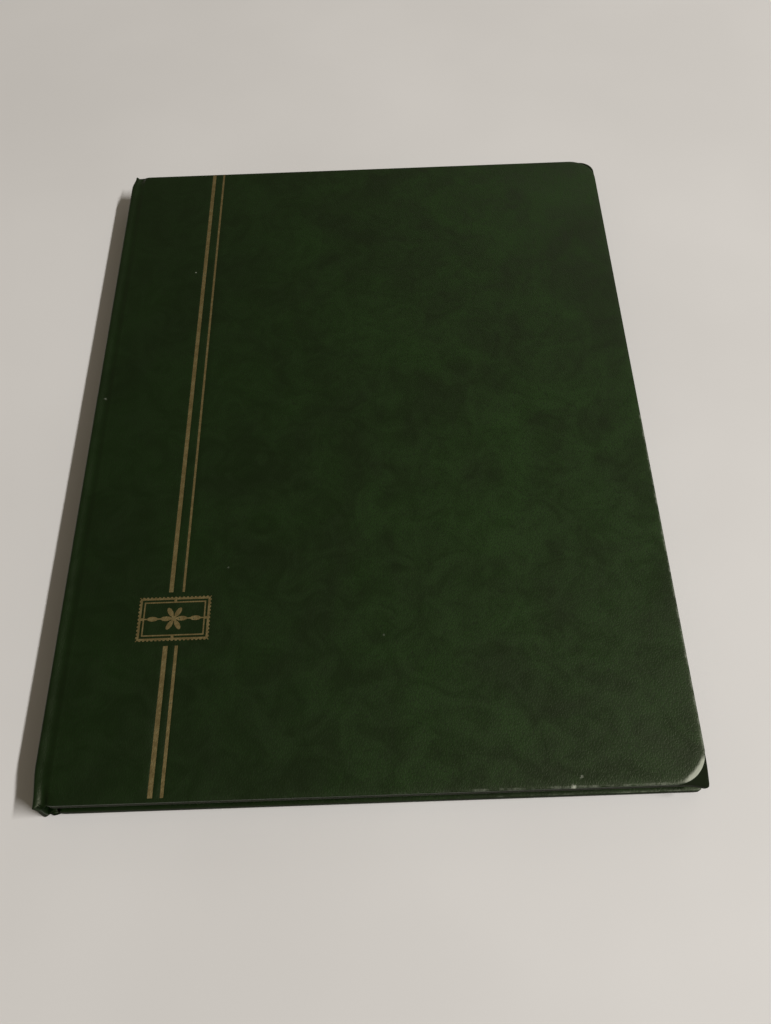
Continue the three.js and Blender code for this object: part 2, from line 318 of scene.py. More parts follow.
def crown(x, y):
    """Depth of a padded face below its highest level: rounded edges and a slow unevenness."""
    inside = max(edge_distance(x, y) - RIDGE + PAD_INSET, 0.0)
    depth = 0.12 * math.exp(-inside / 0.7) + 0.10 * math.exp(-inside / 7.0)
    depth += FACE_DIP * math.exp(-max(x - BOARD_X - 0.6, 0.0) / 2.4)
    uneven = 0.05 * wander(x, y, 70.0, 3.1) + 0.02 * wander(x, y, 21.0, 8.4)
    uneven *= smoothstep(beyond_emblem(x, y), 0.0, 25.0)
    return depth + (0.04 + uneven) * smoothstep(inside, 0.0, 12.0)


def round_corner(x, y, inset, radius):
    """Moves a point of a square-cornered cover outline on to one with round fore-edge corners."""
    side = math.copysign(1.0, y)
    centre_x = FORE_X - inset - radius
    centre_y = HALF_HEIGHT - inset - radius
    s = (x - centre_x) / radius
    t = (abs(y) - centre_y) / radius
    if s <= 0 or t <= 0:
        return x, y
    return (
        centre_x + radius * s * math.sqrt(max(1 - t * t / 2, 0.0)),
        side * (centre_y + radius * t * math.sqrt(max(1 - s * s / 2, 0.0))),
    )


PADDED_LOOPS = 5  # the wrap's loops after this one lie on the board, and not on the pad


def cover_wrap(ledge, lip, corner):
    """Loops from the padding's ridge over the board's edge to the end of the turn-in.

    Each is (distance in from the board's edge, depth below the outer face, corner radius).
    """
    foot = ledge - 0.1
    return [
        (0.30, 0.27, PAD_CORNER - 0.2),
        (0.13, 0.45, PAD_CORNER - 0.05),
        (0.06, 0.5 * (0.45 + foot), PAD_CORNER),
        (0.06, foot, PAD_CORNER),
        (0.05, ledge, PAD_CORNER - 0.1),
        (0.05, ledge + 0.03, PAD_CORNER - 1.0),
        (0.04, ledge + 0.06, 0.5 * (PAD_CORNER + corner)),
        (0.03, ledge + 0.10, corner + 0.7),
        (0.01, ledge + 0.20, corner),
        (0.0, ledge + 0.45, corner),
        (0.0, (ledge + lip) / 2, corner),
        (0.0, lip - 0.5, corner),
        (0.10, lip - 0.14, corner),
        (0.35, lip, corner),
        (1.2, lip, corner),
        (5.0, lip, corner / 2),
        (10.0, lip, corner / 3),
        (TURN_IN, lip, corner / 4),
    ]


def cover_rows():
    """Places along Y of a covering's grid lines, with extra ones where the gold rules end."""
    rows = set(mirrored(stations(0.0, HALF_HEIGHT - RIDGE, COVER_STEP, EDGE_STEPS)))
    for name in RULES:
        low, high = node_box(name)
        for end in (low[1], high[1]):
            if abs(end) < HALF_HEIGHT - 3:
                rows |= {end - PRESS_EDGE, end, end + PRESS_EDGE}
    return tidied(rows)


def cover_columns():
    """Places along X over a board, with extra ones at the gold rules' edges."""
    columns = set(stations(BOARD_X + JOINT_OVERLAP, FORE_X - RIDGE, COVER_STEP, EDGE_STEPS))
    columns |= {BOARD_X + 0.8, BOARD_X + 1.6, BOARD_X + 2.5}
    for name in RULES:
        low, high = node_box(name)
        columns |= {low[0] - PRESS_EDGE, low[0], high[0], high[0] + PRESS_EDGE}
    return tidied(columns)


def joint_section(seam_depth):
    """The covering from its seam on the spine's face, round the spine's edge and over the joint.

    Each station is (x, depth below the outer face, inward direction, thickness of what is wrapped).
    """
    section = []
    turn_depth = FACE_DIP + SPINE_EDGE
    face_count = max(3, round((seam_depth - turn_depth) / 1.2) + 1)
    spine_thickness = SPINE_HIGH[0] - SPINE_LOW[0]
    corner = 0.9 * SPINE_EDGE
    for depth in np.linspace(seam_depth, turn_depth, face_count):
        wrapped = corner + (spine_thickness - corner) * smoothstep(depth - turn_depth, 0.0, 2.5)
        section.append((SPINE_X, depth, (1.0, 0.0), float(wrapped)))
    turn_steps = 6
    for step in range(1, turn_steps + 1):
        angle = step / turn_steps * math.pi / 2
        x = SPINE_X + SPINE_EDGE * (1 - math.cos(angle))
        depth = turn_depth - SPINE_EDGE * math.sin(angle)
        section.append((x, depth, (math.cos(angle), math.sin(angle)), corner))
    joint_start = SPINE_X + SPINE_EDGE
    width = BOARD_X + JOINT_OVERLAP - joint_start
    groove_steps = 13
    for step in range(1, groove_steps):
        u = step / groove_steps
        depth = FACE_DIP + GROOVE * math.sin(math.pi * u) ** 2
        section.append((joint_start + u * width, depth, (0.0, 1.0), 2.4 * COVERING))
    return section


def end_shift(x):
    """How far the covering's head and tail ends stand out at the spine, or are pulled in at the joint."""
    tip = 0.7 * math.exp(-(((x - SPINE_X - 0.7) / 1.3) ** 2))
    pulled = -PULLED_IN * math.exp(-(((x - SPINE_X - 4.3) / 1.7) ** 2))
    return tip + pulled


def pinch(y, z):
    """From 0 to 1 towards the spine's two upper ends, which have been pressed in by handling."""
    end = smoothstep(-y, HALF_HEIGHT - 14, HALF_HEIGHT) + smoothstep(y, HALF_HEIGHT - 7, HALF_HEIGHT)
    return float(end * smoothstep(z, 3.0, 11.0))


def pressed_in(x, y, z):
    """A point of the spine or joint, moved by what handling has done to the spine's ends."""
    amount = pinch(y, z)
    if amount == 0.0:
        return x, z
    across = (x - SPINE_X) / (BOARD_X - SPINE_X)
    crease = 0.25 + 0.75 * amount
    fallen = 1.0 - smoothstep(across, crease - 0.25, crease + 0.05)
    return x + 1.1 * amount * math.exp(-max(x - SPINE_X, 0.0) / 3.0), z - 0.45 * amount * float(fallen)


def near_tail_corner(x, y, inset, reach):
    """From 1 at a point this far in from both edges of the tail corner, down to 0 beyond the reach."""
    return math.exp(-((math.hypot(x - FORE_X + inset, y + HALF_HEIGHT - inset) / reach) ** 2))


def ridge_wear_and_highlight(x, y, front):
    """How pale the padding's ridge is: bare from rubbing at the front cover's tail corner, and a little
    elsewhere, partly rubbed and partly a painted highlight that grows along the tail towards the fore-edge.
    """
    bare = near_tail_corner(x, y, 3.5, 7.5) if front and y < 0 else 0.0
    along = 0.28 + 0.22 * smoothstep(x, -60.0, 110.0) if y < 0 else 0.3
    return max(float(along), 1.4 * bare)


def edge_wear_and_painted_light(index, x, y, front):
    """How pale each loop of the wrapped edge is, or -1 where it is darkened with painted shade and made
    dull.

    The first loops are on the padding's ridge, and the back cover's lip gets a painted highlight.
    """
    along_ridge = (1.0, 1.0, 0.6, 0.1)
    lip = 12
    if index < len(along_ridge):
        return along_ridge[index] * ridge_wear_and_highlight(x, y, front)
    # painted highlight on the back cover's lip, stronger towards the fore-edge
    if not front and index in (lip, lip + 1):
        return 0.45 * float(smoothstep(x, -90.0, 90.0))
    # painted shade: the ledges and sides of the wrapped edge are darkened
    return -1.0 if index < lip else 0.0


def ear(x, y):
    """The front board's tail corner, bent a little out of line."""
    near = near_tail_corner(x, y, 0.0, 4.5)
    return x - 0.5 * near, y - 1.0 * near


def covering(name, face_z, up, ledge, lip, seam_depth, tooled):
    """One piece of covering: its part of the spine's face, the joint, and a whole cover with its turn-ins.

    up is 1 where the outer face looks up and -1 where it looks down, and depths count in from face_z.
    """
    rows = cover_rows()
    section = joint_section(seam_depth)
    columns = cover_columns()
    width = len(rows)
    length = len(section) + len(columns)
    points = []
    # each point's rubbing, painted highlight or painted shade
    wear_and_painted_light = []

    def place(x, y, depth):
        z = face_z - up * depth
        if x < BOARD_X + 1:
            x, z = pressed_in(x, y, z)
        points.append((x, y, z))

    # The outer face, from the seam over the joint and across the cover
    for x, depth, inward, _ in section:
        for y in rows:
            near_end = smoothstep(abs(y), HALF_HEIGHT - 10, HALF_HEIGHT)
            pulled_depth = 0.5 * near_end * max(-end_shift(x), 0.0)
            slack = 0.05 * wander(x * 3, y, 16.0, 5.0) * inward[1]
            place(x, y + math.copysign(end_shift(x) * near_end, y), depth + pulled_depth + slack)
            wear_and_painted_light.append(0.15 if depth < FACE_DIP + 0.1 and x < SPINE_X + 3 else 0.0)
    for x in columns:
        for y in rows:
            px, py = round_corner(x, y, RIDGE, PAD_CORNER - RIDGE + PAD_INSET)
            depth = crown(px, py) + (pressed(px, py) if tooled else 0.0)
            place(px, py, depth)
            inside = max(edge_distance(px, py) - RIDGE, 0.0)
            fade = 1.3 + 1.2 * near_tail_corner(px, py, 3.5, 9.0)
            wear_and_painted_light.append(ridge_wear_and_highlight(px, py, tooled) * max(1.0 - inside / fade, 0.0))
    faces = grid_faces(length, width)

    # Loops round the open border, from the seam along the head, down the fore-edge and back along the tail
    border = [(i, width - 1) for i in range(length)]
    border += [(length - 1, j) for j in range(width - 2, -1, -1)]
    border += [(i, 0) for i in range(length - 2, -1, -1)]
    previous = [i * width + j for i, j in border]
    worn = cover_wrap(ledge, lip, WORN_CORNER if tooled else COVERED_CORNER)
    sharp = cover_wrap(ledge, lip, TAIL_CORNER if tooled else COVERED_CORNER)
    for index, (inset, wrap_depth, _) in enumerate(worn):
        loop = []
        for i, j in border:
            loop.append(len(points))
            y_side = 0 if 0 < j < width - 1 else (1 if j else -1)
            if i < len(section):
                x, depth, inward, thickness = section[i]
                share = (wrap_depth - FACE_DIP) / (lip - FACE_DIP)
                pulled_depth = 0.5 * max(-end_shift(x), 0.0)
                y = y_side * (HALF_HEIGHT - inset + end_shift(x))
                inner = share * thickness
                place(x + inward[0] * inner, y, depth + pulled_depth + inward[1] * inner)
            else:
                x = columns[i - len(section)]
                at_fore_edge = i == length - 1
                x = FORE_X - inset if at_fore_edge else min(x, FORE_X - inset)
                limit = HALF_HEIGHT - inset
                y = y_side * limit if y_side else max(-limit, min(limit, rows[j]))
                px, py = round_corner(x, y, inset, (worn if y > 0 else sharp)[index][2])
                shift = end_shift(px) if y_side else 0.0
                if tooled and index > PADDED_LOOPS:
                    px, py = ear(px, py)
                place(px, py + y_side * shift, wrap_depth)
            wear_and_painted_light.append(edge_wear_and_painted_light(index, *points[-1][:2], tooled))
        for a in range(len(border) - 1):
            faces.append((previous[a], previous[a + 1], loop[a + 1], loop[a]))
        previous = loop
    if up < 0:
        faces = flipped(faces)
    piece = make_piece(name, points, faces, LEATHERETTE)
    attribute = piece.data.attributes.new("wear_and_painted_light", "FLOAT", "POINT")
    attribute.data.foreach_set("value", wear_and_painted_light)
    return piece


# Materials


def new_material(name):
    material = bpy.data.materials.new(name)
    material.use_nodes = True
    tree = material.node_tree
    shader = tree.nodes["Principled BSDF"]
    return material, tree, shader


def add_node(tree, kind, **settings):
    node = tree.nodes.new(kind)
    for key, value in settings.items():
        setattr(node, key, value)
    return node


def rest_place(tree):
    """Rest coordinates in millimetres, from the stored attribute."""
    return add_node(tree, "ShaderNodeAttribute", attribute_name="rest_mm").outputs["Vector"]


def object_place(tree):
    """Object coordinates in millimetres, for pieces that never bend."""
    source = add_node(tree, "ShaderNodeTexCoord").outputs["Object"]
    scale = add_node(tree, "ShaderNodeVectorMath", operation="SCALE")
    tree.links.new(source, scale.inputs[0])
    scale.inputs["Scale"].default_value = 1 / MM
    return scale.outputs["Vector"]


def noise_at(tree, place, size, detail, roughness, distortion=0.0):
    """Noise with features of about this size in millimetres."""
    node = add_node(tree, "ShaderNodeTexNoise")
    tree.links.new(place, node.inputs["Vector"])
    node.inputs["Scale"].default_value = 1 / size
    node.inputs["Detail"].default_value = detail
    node.inputs["Roughness"].default_value = roughness
    node.inputs["Distortion"].default_value = distortion
    return node.outputs["Fac"]


def cells_at(tree, place, size, feature="F1"):
    """Distance within cells of about this size in millimetres."""
    node = add_node(tree, "ShaderNodeTexVoronoi", feature=feature)
    tree.links.new(place, node.inputs["Vector"])
    node.inputs["Scale"].default_value = 1 / size
    return node.outputs["Distance"]


def remap(tree, value, low, high, new_low=0.0, new_high=1.0):
    node = add_node(tree, "ShaderNodeMapRange", interpolation_type="SMOOTHSTEP")
    tree.links.new(value, node.inputs["Value"])
    node.inputs["From Min"].default_value = low
    node.inputs["From Max"].default_value = high
    node.inputs["To Min"].default_value = new_low
    node.inputs["To Max"].default_value = new_high
    return node.outputs["Result"]


def math_node(tree, operation, a, b):
    node = add_node(tree, "ShaderNodeMath", operation=operation)
    for socket, value in zip(node.inputs, (a, b)):
        if isinstance(value, (int, float)):
            socket.default_value = value
        else:
            tree.links.new(value, socket)
    return node.outputs["Value"]


def weighted_sum(tree, *terms):
    """Adds up values, each given with its weight."""
    parts = [value if weight == 1 else math_node(tree, "MULTIPLY", value, weight) for value, weight in terms]
    total = parts[0]
    for part in parts[1:]:
        total = math_node(tree, "ADD", total, part)
    return total


def mix_colours(tree, factor, a, b):
    node = add_node(tree, "ShaderNodeMix", data_type="RGBA")
    sockets = {s.identifier: s for s in node.inputs}
    tree.links.new(factor, sockets["Factor_Float"])
    for key, value in (("A_Color", a), ("B_Color", b)):
        if isinstance(value, tuple):
            sockets[key].default_value = (*value, 1.0)
        else:
            tree.links.new(value, sockets[key])
    return next(s for s in node.outputs if s.identifier == "Result_Color")


def bump(tree, height, depth):
    """A bump whose heights from 0 to 1 stand for this depth in millimetres."""
    node = add_node(tree, "ShaderNodeBump")
    node.inputs["Strength"].default_value = 1.0
    node.inputs["Distance"].default_value = depth * MM
    tree.links.new(height, node.inputs["Height"])
    return node.outputs["Normal"]


def dress(tree, shader, colour, roughness, normal=None):
    """Sets a shader's main inputs, each to a node's output or to a value that is the same all over."""
    for key, value in (("Base Color", colour), ("Roughness", roughness), ("Normal", normal)):
        if isinstance(value, (float, tuple)):
            shader.inputs[key].default_value = value
        elif value is not None:
            tree.links.new(value, shader.inputs[key])


def spots(tree, place, centres):
    """Small ragged spots, 0 outside them. Each centre is (x, y, z, radius, strength) in millimetres."""
    ragged = noise_at(tree, place, 0.9, 4.0, 0.7)
    total = 0.0
    for x, y, z, radius, strength in centres:
        distance = add_node(tree, "ShaderNodeVectorMath", operation="DISTANCE")
        tree.links.new(place, distance.inputs[0])
        distance.inputs[1].default_value = (x, y, z)
        uneven = math_node(tree, "MULTIPLY", ragged, 2.4 * radius)
        uneven = math_node(tree, "ADD", distance.outputs["Value"], uneven)
        spot = remap(tree, uneven, 1.2 * radius, 2.2 * radius, strength, 0.0)
        total = math_node(tree, "ADD", total, spot)
    return math_node(tree, "MINIMUM", total, 1.0)


def cover_point(x, y, depth=0.0):
    """A place on the front cover from its spine and tail edges, in the row frame."""
    return SPINE_X + x, y - HALF_HEIGHT, TOP_Z - depth


# Each is (x, y, z, radius, strength)
SCUFFS = [
    (*cover_point(183.9, 0.4, 0.5), 1.3, 1.0),
    (*cover_point(186.8, 3.8), 0.8, 0.55),
    (*cover_point(3.9, 168.7), 1.0, 0.5),
    (*cover_point(0.5, 0.3, 1.0), 0.9, 0.8),
    (*cover_point(62.0, 86.5), 0.5, 0.25),
    (*cover_point(37.0, 239.0), 0.5, 0.6),
    (*cover_point(121.0, 57.0), 0.6, 0.15),
]


def leather_grain(tree, place):
    """Height of a fine pebbled grain, a little longer along Y, from 0 in the creases to 1."""
    stretch = add_node(tree, "ShaderNodeVectorMath", operation="MULTIPLY")
    tree.links.new(place, stretch.inputs[0])
    stretch.inputs[1].default_value = (1.0, 0.7, 1.0)
    place = stretch.outputs["Vector"]
    warp = add_node(tree, "ShaderNodeTexNoise")
    tree.links.new(place, warp.inputs["Vector"])
    warp.inputs["Scale"].default_value = 0.9
    warp.inputs["Detail"].default_value = 2.0
    push = add_node(tree, "ShaderNodeVectorMath", operation="SCALE")
    tree.links.new(warp.outputs["Color"], push.inputs[0])
    push.inputs["Scale"].default_value = 0.7
    moved = add_node(tree, "ShaderNodeVectorMath", operation="ADD")
    tree.links.new(place, moved.inputs[0])
    tree.links.new(push.outputs["Vector"], moved.inputs[1])
    pebbles = cells_at(tree, moved.outputs["Vector"], 0.95, "DISTANCE_TO_EDGE")
    fine = cells_at(tree, moved.outputs["Vector"], 0.45)
    rounded = remap(tree, pebbles, 0.0, 0.28)
    return weighted_sum(tree, (rounded, 0.7), (fine, 0.45))


DARK_GREEN = (0.0050, 0.0125, 0.0026)
LIGHT_GREEN = (0.0088, 0.0290, 0.0042)
# painted shade: the covering darkens towards the spine
SHADED_SPINE_SIDE_GREEN = (0.0012, 0.0085, 0.0008)
CREASE_GREEN = (0.0035, 0.0100, 0.0020)
# painted shade on the wrapped edges' ledges and sides, the bent tail corner included
SHADED_EDGE_GREEN = (0.0040, 0.0060, 0.0025)
# pale rubbed leatherette, also a painted highlight along the padding's ridges and the back cover's lip
PALE_WEAR_AND_HIGHLIGHT = (0.36, 0.38, 0.31)


def leatherette():
    """Dark green marbled leatherette: clouds of three sizes, a fine grain, pale edges that are partly rubbed
    and partly a painted highlight, and painted shade towards the spine and on the wrapped edges' sides.
    """
    material, tree, shader = new_material("leatherette")
    place = rest_place(tree)
    clouds = noise_at(tree, place, 38.0, 4.0, 0.55, 0.9)
    mottle = noise_at(tree, place, 13.0, 4.0, 0.6, 1.3)
    veins = noise_at(tree, place, 5.0, 3.0, 0.6, 0.8)
    marbling = remap(tree, weighted_sum(tree, (clouds, 0.55), (mottle, 0.38), (veins, 0.11)), 0.36, 0.70)
    green = mix_colours(tree, marbling, DARK_GREEN, LIGHT_GREEN)
    split = add_node(tree, "ShaderNodeSeparateXYZ")
    tree.links.new(place, split.inputs[0])
    # painted shade, darkening the covering towards the spine
    shade_toward_spine = remap(tree, split.outputs["X"], -125.0, 70.0, 0.75, 0.0)
    green = mix_colours(tree, shade_toward_spine, green, SHADED_SPINE_SIDE_GREEN)
    grain = leather_grain(tree, place)
    creased = mix_colours(tree, remap(tree, grain, 0.05, 0.45), CREASE_GREEN, green)

    # the attribute holds rubbing, a painted highlight on the ridges and the back cover's lip, and -1 for
    # painted shade on the edges
    worn = add_node(tree, "ShaderNodeAttribute", attribute_name="wear_and_painted_light").outputs["Fac"]
    patchy = noise_at(tree, place, 5.0, 5.0, 0.75)
    # pale: rubbing and scuffs, with a painted highlight along the ridges and the back cover's lip
    rubbed = remap(tree, weighted_sum(tree, (worn, 1), (patchy, 0.9)), 0.80, 1.45)
    rubbed = math_node(tree, "MAXIMUM", rubbed, spots(tree, place, SCUFFS))
    # painted shade darkens the wrapped edges' ledges and sides
    shaded_edges = mix_colours(tree, remap(tree, worn, 0.0, -1.0, 0.0, 0.75), creased, SHADED_EDGE_GREEN)
    sheen = remap(tree, mottle, 0.3, 0.7, 0.40, 0.50)
    dullness = remap(tree, worn, 0.0, -1.0, 0.0, 0.6)
    roughness = weighted_sum(tree, (sheen, 1), (rubbed, 0.2), (dullness, 1))
    dress(tree, shader, mix_colours(tree, rubbed, shaded_edges, PALE_WEAR_AND_HIGHLIGHT), roughness, bump(tree, grain, 0.03))
    shader.inputs["Specular IOR Level"].default_value = 0.3
    shader.inputs["Specular Tint"].default_value = (1.0, 1.0, 0.75, 1.0)
    return material


def gold_foil():
    """Dull hot-stamped gold with the grain of what is under it, worn through in places."""
    material, tree, shader = new_material("gold_foil")
    place = object_place(tree)
    grain = leather_grain(tree, place)
    patches = noise_at(tree, place, 3.0, 6.0, 0.7)
    rubbed = math_node(tree, "MULTIPLY", remap(tree, patches, 0.50, 0.66), remap(tree, grain, 0.5, 0.2))
    colour = mix_colours(tree, rubbed, (0.40, 0.32, 0.15), (0.02, 0.03, 0.01))
    tree.links.new(remap(tree, rubbed, 0.0, 1.0, 1.0, 0.1), shader.inputs["Metallic"])
    dress(tree, shader, colour, remap(tree, patches, 0.3, 0.7, 0.36, 0.52), bump(tree, grain, 0.03))
    return material


def paper(name, colour, darker, roughness=0.75):
    """Uncoated paper or card, slightly cloudy, with fine fibres."""
    material, tree, shader = new_material(name)
    place = object_place(tree)
    cloud = noise_at(tree, place, 11.0, 5.0, 0.6)
    fibres = noise_at(tree, place, 0.35, 4.0, 0.7)
    blend = remap(tree, weighted_sum(tree, (cloud, 0.6), (fibres, 0.4)), 0.35, 0.65)
    dullness = remap(tree, cloud, 0.3, 0.7, roughness - 0.05, roughness + 0.05)
    dress(tree, shader, mix_colours(tree, blend, darker, colour), dullness, bump(tree, fibres, 0.012))
    return material


THREAD_PITCH = 0.45


def linen(name, place_of=rest_place):
    """Plain-weave binding linen, with threads at the same pitch both ways."""
    material, tree, shader = new_material(name)
    place = place_of(tree)
    split = add_node(tree, "ShaderNodeSeparateXYZ")
    tree.links.new(place, split.inputs[0])
    turns = 2 * math.pi / THREAD_PITCH
    across = math_node(tree, "ADD", split.outputs["X"], split.outputs["Z"])
    warp = math_node(tree, "SINE", math_node(tree, "MULTIPLY", across, turns), 0.0)
    weft = math_node(tree, "SINE", math_node(tree, "MULTIPLY", split.outputs["Y"], turns), 0.0)
    weave = math_node(tree, "MULTIPLY", warp, weft)
    slub = noise_at(tree, place, 2.2, 4.0, 0.7)
    height = weighted_sum(tree, (remap(tree, weave, -1.0, 1.0), 1), (slub, 0.6))
    colour = mix_colours(tree, remap(tree, height, 0.2, 1.1), (0.44, 0.40, 0.31), (0.74, 0.70, 0.60))
    dress(tree, shader, colour, 0.85, bump(tree, height, 0.05))
    shader.inputs["Sheen Weight"].default_value = 0.25
    return material


def greyboard():
    """Grey pulp board, with its layers showing as streaks along the edges."""
    material, tree, shader = new_material("greyboard")
    place = object_place(tree)
    stretch = add_node(tree, "ShaderNodeMapping")
    stretch.inputs["Scale"].default_value = (1.0, 1.0, 6.0)
    tree.links.new(place, stretch.inputs["Vector"])
    layers = noise_at(tree, stretch.outputs["Vector"], 2.0, 5.0, 0.7)
    flecks = noise_at(tree, place, 0.6, 3.0, 0.6)
    blend = remap(tree, weighted_sum(tree, (layers, 0.6), (flecks, 0.4)), 0.35, 0.65)
    grey = mix_colours(tree, blend, (0.13, 0.11, 0.09), (0.26, 0.23, 0.19))
    dress(tree, shader, grey, 0.9, bump(tree, layers, 0.08))
    return material


def clear_film():
    """Slightly hazy clear film of the pockets."""
    material, tree, shader = new_material("pocket_film")
    haze = noise_at(tree, object_place(tree), 14.0, 3.0, 0.5)
    dress(tree, shader, (0.93, 0.94, 0.92, 1.0), remap(tree, haze, 0.3, 0.7, 0.10, 0.2))
    shader.inputs["Alpha"].default_value = 0.22
    shader.inputs["Specular IOR Level"].default_value = 0.7
    return material


def glassine():
    """Translucent glassine paper with a faint cloud and cockle."""
    material, tree, shader = new_material("glassine")
    place = rest_place(tree)
    cloud = noise_at(tree, place, 22.0, 5.0, 0.6)
    cream = mix_colours(tree, remap(tree, cloud, 0.3, 0.7), (0.67, 0.65, 0.57), (0.74, 0.72, 0.65))
    dress(tree, shader, cream, 0.38, bump(tree, noise_at(tree, place, 30.0, 2.0, 0.4), 0.25))
    shader.inputs["Alpha"].default_value = 0.62
    return material


def foam():
    """Pale padding foam with small pores."""
    material, tree, shader = new_material("foam")
    pores = cells_at(tree, object_place(tree), 0.5)
    pale = mix_colours(tree, remap(tree, pores, 0.1, 0.6), (0.45, 0.40, 0.28), (0.70, 0.66, 0.52))
    dress(tree, shader, pale, 0.95, bump(tree, pores, 0.12))
    return material


LEATHERETTE = leatherette()
GOLD = gold_foil()
KRAFT = paper("kraft", (0.17, 0.12, 0.07), (0.11, 0.08, 0.05))
ENDPAPER = paper("endpaper", (0.76, 0.72, 0.62), (0.68, 0.63, 0.52))
LEAF_CARD = paper("leaf_card", (0.80, 0.77, 0.68), (0.74, 0.70, 0.60), 0.6)
LINEN = linen("linen")
BLOCK_LINEN = linen("block_linen", object_place)
GREYBOARD = greyboard()
FILM = clear_film()
GLASSINE = glassine()
FOAM = foam()


# Case


def blend_over_joint(piece):
    """Bakes the covering's placement into its mesh."""
    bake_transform(piece)


def front_covering():
    """Covers the front board and its padding, the front joint and the spine's face down to the seam."""
    seam_depth = TOP_Z - SEAM_Z
    piece = covering("front_leatherette", TOP_Z, 1.0, FRONT_LEDGE, FRONT_LIP, seam_depth, tooled=True)
    thicken(piece, COVERING)
    keep_rest(piece)
    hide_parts("front_cover_skin", "spine_skin")
    blend_over_joint(piece)


def back_covering():
    """Covers the back board and its padding, the back joint and the spine's face up to the seam."""
    piece = covering("back_leatherette", 0.0, -1.0, BACK_LEDGE, BACK_LIP, SEAM_Z, tooled=False)
    thicken(piece, COVERING)
    keep_rest(piece)
    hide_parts("back_cover_skin")
    blend_over_joint(piece)


def foam_pad(name, node, body, outer_z, up):
    """A crowned sheet of foam that fills the covering, from the board to its inside."""
    low, high = node_box(node)
    board_side = low[2] if up > 0 else high[2]
    rows = mirrored(stations(0.0, HALF_HEIGHT - RIDGE - COVERING, PAD_STEP, EDGE_STEPS))
    columns = stations(BOARD_X, FORE_X - RIDGE - COVERING, PAD_STEP, EDGE_STEPS)
    points = []
    for x in columns:
        for y in rows:
            px, py = round_corner(x, y, RIDGE + COVERING, PAD_CORNER - RIDGE)
            points.append((px, py, outer_z - up * (crown(px, py) + COVERING + PRESS + GLUE)))
    points += [(x, y, board_side) for x, y, _ in points]
    faces = slab_faces(len(columns), len(rows))
    piece = make_piece(name, points, flipped(faces) if up > 0 else faces, FOAM)
    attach(piece, body)
    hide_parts(node)


def front_board():
    """The front greyboard, with its head corner knocked round and its tail corner bent out."""
    rings = []
    for inset, z in eased_edges(BOARD_LOW[2], BOARD_HIGH[2], 0.15):
        low = (BOARD_LOW[0] + inset, BOARD_LOW[1] + inset)
        high = (BOARD_HIGH[0] - inset, BOARD_HIGH[1] - inset)
        corners = rounded_rectangle(low, high, TAIL_CORNER - COVERING, WORN_CORNER)
        outline = [np.array(point) for point in corners]
        outline = spread(outline + outline[:1], 1.5)[:-1]
        rings.append([(*ear(x, y), z) for x, y in outline])
    piece = stacked_rings("front_greyboard", rings, GREYBOARD)
    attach(piece, "front_cover")
    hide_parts("front_board")


def spine_board():
    """The spine's strip of greyboard, pressed in at its upper ends like the covering over it."""
    low, high = node_box("spine_strip")
    end_steps = (0.5, 1.5, 3.0, 4.5, 6.5, 9.0, 12.0)
    ys = mirrored(stations(0.0, high[1] - SPINE_STRIP_SHORT, 10.0, end_steps))
    zs = np.linspace(low[2], high[2], 9)
    rings = []
    for y in ys:
        ring = []
        for x, heights in ((low[0], zs), (high[0], zs[::-1])):
            for z in heights:
                moved_x, moved_z = pressed_in(x, y, z)
                ring.append((moved_x, y, moved_z))
        rings.append(ring)
    piece = stacked_rings("spine_greyboard", rings, GREYBOARD)
    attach(piece, "spine")
    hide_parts("spine_strip")


def paint_nodes(material, *names):
    """Gives a material to CAD nodes that are kept."""
    for name in names:
        materials = frame["nodes"][name].data.materials
        materials.clear()
        materials.append(material)


# Gold tooling


def face_height(x, y):
    """Height of the front cover's outer face."""
    return TOP_Z - crown(x, y) - pressed(x, y)


def foil_rule(node):
    """A thin strip of foil that follows the pressed covering, and at the head goes over its edge."""
    low, high = node_box(node)
    worn_away = 0.02 * (high[0] - low[0])
    low = low + np.array((worn_away, 0, 0))
    high = high - np.array((worn_away, 0, 0))
    near_edge = 3
    at_head = high[1] > HALF_HEIGHT - near_edge
    at_tail = low[1] < near_edge - HALF_HEIGHT
    ys = list(np.arange(low[1], high[1], 2.0))
    if at_head:
        ys = [y for y in ys if y < HALF_HEIGHT - near_edge - 1]
        ys += [HALF_HEIGHT - d for d in (3.6, 2.8, 2.2, 1.8, 1.5, RIDGE)]
    else:
        ys.append(high[1])
    if at_tail:
        ys = [y for y in ys if y > near_edge + 1 - HALF_HEIGHT]
        ys = [-HALF_HEIGHT + d for d in (low[1] + HALF_HEIGHT, 2.2, 2.8, 3.6)] + ys
    path = [(y, face_height((low[0] + high[0]) / 2, y), 0.0) for y in ys]
    if at_head:
        for inset, depth, _ in cover_wrap(FRONT_LEDGE, FRONT_LIP, WORN_CORNER)[:4]:
            path.append((HALF_HEIGHT - inset, TOP_Z - depth, 1.0))
    lift = 0.03
    sink = 0.05
    bevel = 0.05
    rings = []
    for y, z, turned in path:
        profile = ((low[0], -sink), (low[0] + bevel, lift), (high[0] - bevel, lift), (high[0], -sink))
        rings.append([(x, y + raised * turned, z + raised * (1 - turned)) for x, raised in profile])
    piece = stacked_rings(node.replace("gold_rule", "foil_rule"), rings, GOLD)
    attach(piece, "front_cover")
    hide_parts(node)


# Binding, joints and leaves


def ribbon(name, path, half_height, thickness, material):
    """A strip that follows a path in X and Z and runs the given half height both ways along Y."""
    row_step = 12.0
    rows = np.linspace(-half_height, half_height, max(3, round(2 * half_height / row_step)))
    points = [(x, y, z) for x, z in path for y in rows]
    piece = make_piece(name, points, grid_faces(len(path), len(rows)), material)
    thicken(piece, thickness, 0.0)
    keep_rest(piece)
    return piece


